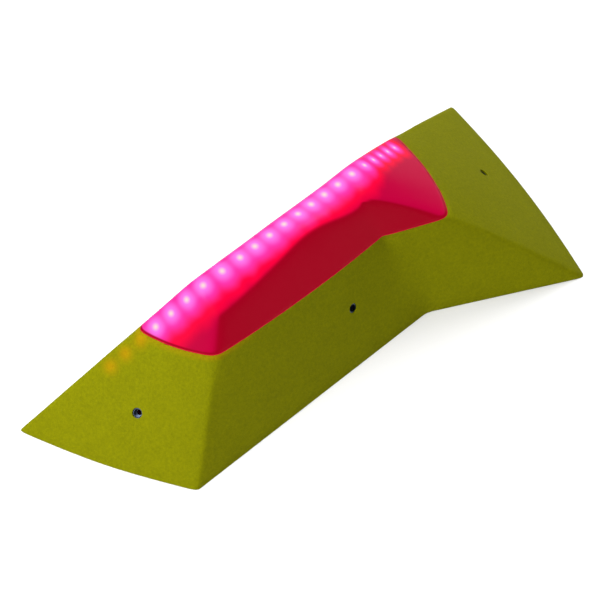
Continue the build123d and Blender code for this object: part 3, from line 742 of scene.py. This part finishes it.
def cover_material(finish, lit):
    """Translucent rose moulding; the light of the LED row inside is painted as emission by distance
    from where the LED beams meet it, with painted shade on the front and at the foot.
    """
    shader = Shader(
        "rose_glow_cover", coat_weight=0.02, coat_roughness=0.12, specular_ior_level=0.03
    )
    cloud = shader.noise(14.0, detail=3.0)
    fine = shader.noise(700.0, detail=2.0)
    # Painted light: emission colour by distance from the nearest spot where an LED beam meets the
    # cover.
    reach = nearest(shader, lit, GLOW_BLEND)
    uneven = shader.noise(30.0, detail=2.0)
    # The painted glow fades faster over the right shoulder, where the reach to the LEDs is stretched.
    east = shader.axis(shader.point, "X").step(*SHOULDER_X)
    reach = reach * (uneven * 0.35 + 0.825) * (east * 0.75 + 1.0)
    up = shader.axis(shader.normal, "Z")
    fore = shader.axis(shader.normal, "Y")
    glow = shader.mix(reach.step(*FAR_REACH), finish.glow_mid, finish.glow_far)
    glow = shader.mix(reach.step(*MID_REACH), finish.glow_near, glow)
    glow = shader.mix(reach.step(*HALO_REACH), finish.glow_halo, glow)
    glow = shader.mix(reach.step(*CORE_REACH), finish.glow_core, glow)
    # Painted shade: faces turned to the front get the dim glow colour instead of the LED glow.
    front = up.step(0.80, 0.52) * fore.step(-0.45, -0.80)
    glow = shader.mix(front, glow, finish.painted_shade_glow)
    # Painted shade: a thin band at the cover's foot gets the same dim glow colour.
    painted_foot_shade = shader.axis(shader.point, "Z").step(*(cover_foot + rise for rise in FOOT_SHADE_BAND))
    glow = shader.mix(painted_foot_shade, glow, finish.painted_shade_glow)
    shader.set("Base Color", shader.mix(cloud, finish.cover, finish.cover_deep))
    shader.set("Roughness", fine * 0.12 + 0.34)
    shader.set("Emission Color", glow)
    shader.set("Emission Strength", GLOW_POWER)
    shader.bump(fine, 0.0002, 0.25)
    return shader.material


def tinted(
    name, low, high, scale, rough, metallic=0.0, stretch=(1, 1, 1), depth=0.0002, **constants
):
    """A finish whose colour, roughness and surface vary between two tones."""
    shader = Shader(name, metallic=metallic, **constants)
    broad = shader.noise(scale * 0.2, detail=3.0)
    grain = shader.noise(scale, detail=4.0, roughness=0.65, stretch=stretch)
    share = (broad * 0.5 + grain * 0.9 - 0.2).clip()
    shader.set("Base Color", shader.mix(share, low, high))
    shader.set("Roughness", grain * 0.2 + (rough - 0.1))
    shader.bump(grain, depth, 0.5)
    return shader.material


def plywood(name, finish, across):
    """Birch plywood: veneer on its faces and ply lines on its edges, across one axis."""
    shader = Shader(name, specular_ior_level=0.3)
    along = {"X": (30, 4, 30), "Z": (4, 30, 30)}[across]
    veneer = shader.noise(18.0, detail=5.0, roughness=0.7, stretch=along)
    pores = shader.noise(70.0, detail=3.0, stretch=along).step(0.62, 0.7)
    face = shader.mix(veneer, finish.plywood, finish.plywood_pale)
    face = shader.mix(pores * 0.4, face, finish.plywood_dark)
    layer = shader.math("PINGPONG", shader.axis(shader.point, across), PLY)
    lines = layer.step(PLY * 0.35, PLY * 0.65)
    edge = shader.mix(lines, finish.plywood_dark, finish.plywood_pale)
    facing = shader.math("ABSOLUTE", shader.axis(shader.normal, across)).step(0.55, 0.75)
    shader.set("Base Color", shader.mix(facing, edge, face))
    shader.set("Roughness", veneer * 0.2 + 0.55)
    shader.bump(veneer, 0.0003, 0.4)
    return shader.material


def glowing(name, tint, strength):
    """LED packages: a bright phosphor field."""
    shader = Shader(name, roughness=0.4)
    field = shader.noise(800.0, detail=2.0)
    shader.set("Base Color", shader.mix(field, (0.9, 0.85, 0.6), (1.0, 0.97, 0.8)))
    shader.set("Emission Color", shader.mix(field, tint, (1.0, 1.0, 1.0)))
    shader.set("Emission Strength", strength)
    return shader.material


def clad(names, material):
    """Gives CAD nodes a finish; their shape stays."""
    for name in names:
        node = frame["nodes"][name]
        node.data.materials.clear()
        node.data.materials.append(material)


# ---------------------------------------------------------------- operators


def settings():
    """The scene's shape, finish and stage settings."""
    scene = bpy.context.scene
    return scene.volume_shape, scene.volume_finish, scene.volume_stage


def mould():
    """The shared outer skin, built once and kept out of sight."""
    kept = bpy.data.objects.get(MOULD)
    return kept or Mould(settings()[0]).build()


def lit_spots(skin):
    """Where each LED's beam, halfway from square to the strip to upright, meets a skin."""
    back = Vector(mounts["back_hold_thread"]["axis"])
    spots = led_spots()
    found = []
    for index, spot in enumerate(spots):
        before = spots[max(index - 1, 0)]
        after = spots[min(index + 1, len(spots) - 1)]
        beam = (after - before).normalized().cross(back) + Vector((1, 0, 0)).cross(back)
        hit, place, _, _ = skin.ray_cast(spot, beam.normalized())
        if hit:
            found.append(place.copy())
    return found


class VOLUME_OT_body_skin(bpy.types.Operator):
    """Builds the olive shell with its flange, hold holes and inlet hole."""

    bl_idname = "volume.body_skin"
    bl_label = "Body skin"

    def execute(self, context):
        shape, finish, _ = settings()
        outer = mould()
        leaks = [spot for spot in lit_spots(outer) if spot.z < seam_height + LEAK_MARGIN]
        skin = band(outer, "body_skin", None, seam_height)
        turn_in(skin, seam_height, shape.flange_width)
        edit(skin, vertices=level_loop(skin, 0.0))
        bpy.ops.transform.translate(value=(0, 0, -RIM_TRIM))
        bpy.ops.mesh.extrude_edges_move(TRANSFORM_OT_translate={"value": (0, 0, -BELOW)})
        close()
        apply_modifier(
            skin, "SOLIDIFY", thickness=shape.shell_wall, offset=-1, use_even_offset=True
        )
        cut_box(skin, Vector((-1, -1, -1)), Vector((1, 1, 0)))
        for side in FACES:
            drill(skin, f"{side}_hold_thread", HOLD_RADIUS, HOLE_REACH)
        drill(skin, "power_socket", inlet_radius(), HOLE_REACH)
        cut_box(skin, *channel_slot())
        soften(skin, SHELL_EDGE)
        smooth(skin)
        finish_piece(skin, shell_material(finish, leaks), "green_grp", "body_shell")
        return {"FINISHED"}


class VOLUME_OT_cover_skin(bpy.types.Operator):
    """Builds the rose cover with its soft ridge and its flange."""

    bl_idname = "volume.cover_skin"
    bl_label = "Cover skin"

    def execute(self, context):
        shape, finish, _ = settings()
        outer = mould()
        skin = band(outer, "cover_skin", cover_foot, None)
        turn_in(skin, cover_foot, shape.flange_width)
        apply_modifier(
            skin, "SOLIDIFY", thickness=shape.cover_wall, offset=-1, use_even_offset=True
        )
        cut_box(skin, *channel_slot())
        soften(skin, COVER_EDGE)
        smooth(skin)
        finish_piece(skin, cover_material(finish, lit_spots(outer)), "rose_cover", "light_cover")
        return {"FINISHED"}


def inlet_radius():
    """Radius of the hole in the skin for the power inlet."""
    low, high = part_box("power_inlet")
    return (high.x - low.x) / 2 - INLET_LIP


def channel_slot():
    """Box round the LED channel where it passes the seam."""
    spots = led_spots()
    below = [spot for spot in spots if spot.z < seam_height][-1]
    above = [spot for spot in spots if spot.z > seam_height][0]
    middle = below.lerp(above, (seam_height - below.z) / (above.z - below.z))
    return middle - SLOT_HALF, middle + SLOT_HALF


def soften(obj, width):
    """Rounds a skin's cut edges a little."""
    apply_modifier(
        obj,
        "BEVEL",
        width=width,
        segments=2,
        limit_method="ANGLE",
        angle_limit=math.radians(50),
        use_clamp_overlap=True,
    )


class VOLUME_OT_seal(bpy.types.Operator):
    """Builds the seal that lies between shell and cover."""

    bl_idname = "volume.seal"
    bl_label = "Seal"

    def execute(self, context):
        shape, finish, _ = settings()
        strip = band(mould(), "seam_seal", seam_height, cover_foot)
        low, high = corner(strip, min), corner(strip, max)
        middle = (low + high) / 2
        span = high - low
        inset = shape.seal_setback
        edit(strip)
        bpy.ops.mesh.select_all(action="SELECT")
        bpy.ops.transform.resize(
            value=(1 - 2 * inset / span.x, 1 - 2 * inset / span.y, 1), center_override=middle
        )
        close()
        apply_modifier(strip, "SOLIDIFY", thickness=shape.seal_width, offset=-1)
        edit(strip)
        bpy.ops.mesh.select_all(action="SELECT")
        bpy.ops.mesh.normals_make_consistent(inside=False)
        close()
        for bottom, top in ((-1.0, seam_height), (cover_foot, 1.0)):
            cut_box(strip, Vector((-1, -1, bottom)), Vector((1, 1, top)))
        smooth(strip)
        seal = tinted(
            "seam_seal", finish.seal, finish.seal_deep, 300.0, 0.6, specular_ior_level=0.1
        )
        # Painted light: the seal is given an emission glow.
        glow = seal.node_tree.nodes["Principled BSDF"]
        glow.inputs["Emission Color"].default_value = (*finish.seal_glow, 1)
        glow.inputs["Emission Strength"].default_value = SEAL_POWER
        finish_piece(strip, seal, "dark_seal", "cover_seal")
        return {"FINISHED"}


def corner(obj, choose):
    """Lowest or highest corner of a mesh's box, for min or max."""
    return Vector([choose(v.co[i] for v in obj.data.vertices) for i in range(3)])


def shade(tone, share):
    """A colour made darker, or brighter over 1."""
    return [c * share for c in tone]


class VOLUME_OT_frame_finishes(bpy.types.Operator):
    """Gives the carried-over parts inside the volume their finishes."""

    bl_idname = "volume.frame_finishes"
    bl_label = "Inner parts"

    def execute(self, context):
        finish = settings()[1]
        steel, black = finish.steel, finish.black
        black_high = shade(black, 2.2)
        clad(
            ("left_rib", "middle_rib", "right_rib"), plywood("birch_plywood_rib", finish, "X")
        )
        clad(("base_ring",), plywood("birch_plywood_ring", finish, "Z"))
        clad([f"{side}_insert_pad" for side in FACES], plywood("pad_plywood", finish, "Z"))
        clad(
            (
                "angle_screws",
                "cover_screws",
                "cover_nuts",
                "post_screws",
                "inlet_nut",
                "driver_lid_screws",
                "wall_tee_nuts",
            ),
            tinted("zinc_plate", shade(steel, 0.7), steel, 260.0, 0.32, 1.0),
        )
        clad(
            [f"{side}_hold_insert" for side in FACES],
            tinted("blued_steel", shade(finish.blued, 0.45), finish.blued, 220.0, 0.28, 1.0),
        )
        clad(
            ("rib_angles", "channel_posts"),
            tinted("angle_steel", shade(steel, 0.5), steel, 120.0, 0.42, 1.0),
        )
        channel = finish.aluminium
        clad(
            ("led_channel",),
            tinted("channel_aluminium", shade(channel, 0.8), channel, 90.0, 0.30, 1.0, (1, 12, 12)),
        )
        clad(("channel_caps",), tinted("cap_plastic", (0.35,) * 3, (0.42,) * 3, 200.0, 0.5))
        clad(
            ("channel_pads",),
            tinted("foam_tape", (0.03,) * 3, (0.06,) * 3, 900.0, 0.95, depth=0.0006),
        )
        clad(
            ("led_strip",),
            tinted("white_strip", shade(finish.strip, 0.85), finish.strip, 150.0, 0.45),
        )
        clad(("leds",), glowing("led_phosphor", finish.glow_near, LED_POWER))
        case = finish.plastic
        clad(
            ("driver_case", "driver_lid"),
            tinted("driver_plastic", shade(case, 0.75), case, 700.0, 0.5, depth=0.0003),
        )
        clad(
            ("driver_board",),
            tinted("board_green", shade(finish.board, 0.7), finish.board, 180.0, 0.35),
        )
        clad(
            ("led_gland", "power_gland", "power_inlet"),
            tinted("black_nylon", black, black_high, 400.0, 0.42),
        )
        clad(
            ("power_lead", "led_lead", "lead_grommet"),
            tinted("black_rubber", black, black_high, 500.0, 0.7),
        )
        return {"FINISHED"}


class VOLUME_OT_stage(bpy.types.Operator):
    """Sets the camera, the soft lights and the pale floor."""

    bl_idname = "volume.stage"
    bl_label = "Stage"

    def execute(self, context):
        _, finish, stage = settings()
        scene = bpy.context.scene
        scene.view_settings.view_transform = "Standard"
        bpy.ops.object.select_all(action="DESELECT")
        ground = cad_box[0][2] - FLOOR_GAP
        bpy.ops.mesh.primitive_plane_add(size=FLOOR_SIZE, location=(0, 0, ground))
        floor = bpy.context.object
        floor.name = "floor"
        settle(floor)
        paint = Shader("pale_floor", roughness=0.9, specular_ior_level=0.1)
        tone = paint.noise(3.0, detail=2.0)
        paint.set("Base Color", paint.mix(tone, finish.floor, shade(finish.floor, 1.02)))
        floor.data.materials.append(paint.material)
        world = bpy.data.worlds.new("soft_sky")
        world.use_nodes = True
        sky = world.node_tree.nodes["Background"]
        sky.inputs["Color"].default_value = (1, 1, 1, 1)
        sky.inputs["Strength"].default_value = stage.sky
        scene.world = world
        target = Vector(stage.camera_target)
        self.lamp("key_light", KEY_PLACE, target, KEY_SIZE, stage.key_power)
        self.lamp("fill_light", FILL_PLACE, target, FILL_SIZE, stage.fill_power)
        azimuth, height = stage.camera_azimuth, stage.camera_elevation
        out = Vector(
            (
                math.sin(azimuth) * math.cos(height),
                -math.cos(azimuth) * math.cos(height),
                math.sin(height),
            )
        )
        spot = target + out * stage.camera_distance
        bpy.ops.object.camera_add(location=spot, rotation=out.to_track_quat("Z", "Y").to_euler())
        camera = bpy.context.object
        camera.name = "main_camera"
        camera.data.lens = stage.camera_lens
        scene.camera = camera
        return {"FINISHED"}

    def lamp(self, name, spot, target, size, power):
        """Adds a soft square light aimed at a point."""
        turn = (spot - target).to_track_quat("Z", "Y").to_euler()
        bpy.ops.object.light_add(type="AREA", location=spot, rotation=turn)
        light = bpy.context.object
        light.name = name
        light.data.size = size
        light.data.energy = power


class VOLUME_OT_clear_mould(bpy.types.Operator):
    """Removes the helper skin that the pieces are cut from."""

    bl_idname = "volume.clear_mould"
    bl_label = "Clear mould"

    def execute(self, context):
        drop(bpy.data.objects[MOULD])
        return {"FINISHED"}


OPERATORS = (
    VOLUME_OT_stage,
    VOLUME_OT_body_skin,
    VOLUME_OT_cover_skin,
    VOLUME_OT_seal,
    VOLUME_OT_clear_mould,
    VOLUME_OT_frame_finishes,
)


class VOLUME_PT_panel(bpy.types.Panel):
    """Lists the volume's settings and the steps that build it."""

    bl_idname = "VOLUME_PT_panel"
    bl_label = "Lit climbing volume"
    bl_space_type = "VIEW_3D"
    bl_region_type = "UI"
    bl_category = "Volume"

    def draw(self, context):
        """Shows one button for each step, then the settings."""
        for operator in OPERATORS:
            self.layout.operator(operator.bl_idname)
        for group in settings():
            box = self.layout.box()
            for name in group.__annotations__:
                box.prop(group, name)


GROUPS = {
    "volume_shape": VolumeShape,
    "volume_finish": VolumeFinish,
    "volume_stage": VolumeStage,
}


def register():
    """Registers the classes and hangs the settings on the scene."""
    for cls in (*GROUPS.values(), *OPERATORS, VOLUME_PT_panel):
        bpy.utils.register_class(cls)
    for name, group in GROUPS.items():
        setattr(bpy.types.Scene, name, bpy.props.PointerProperty(type=group))


def unregister():
    """Undoes register."""
    for name in GROUPS:
        delattr(bpy.types.Scene, name)
    for cls in (VOLUME_PT_panel, *reversed(OPERATORS), *GROUPS.values()):
        bpy.utils.unregister_class(cls)


def main():
    """Builds everything in order."""
    register()
    for operator in OPERATORS:
        group, name = operator.bl_idname.split(".")
        getattr(getattr(bpy.ops, group), name)()


if __name__ == "__main__":
    main()
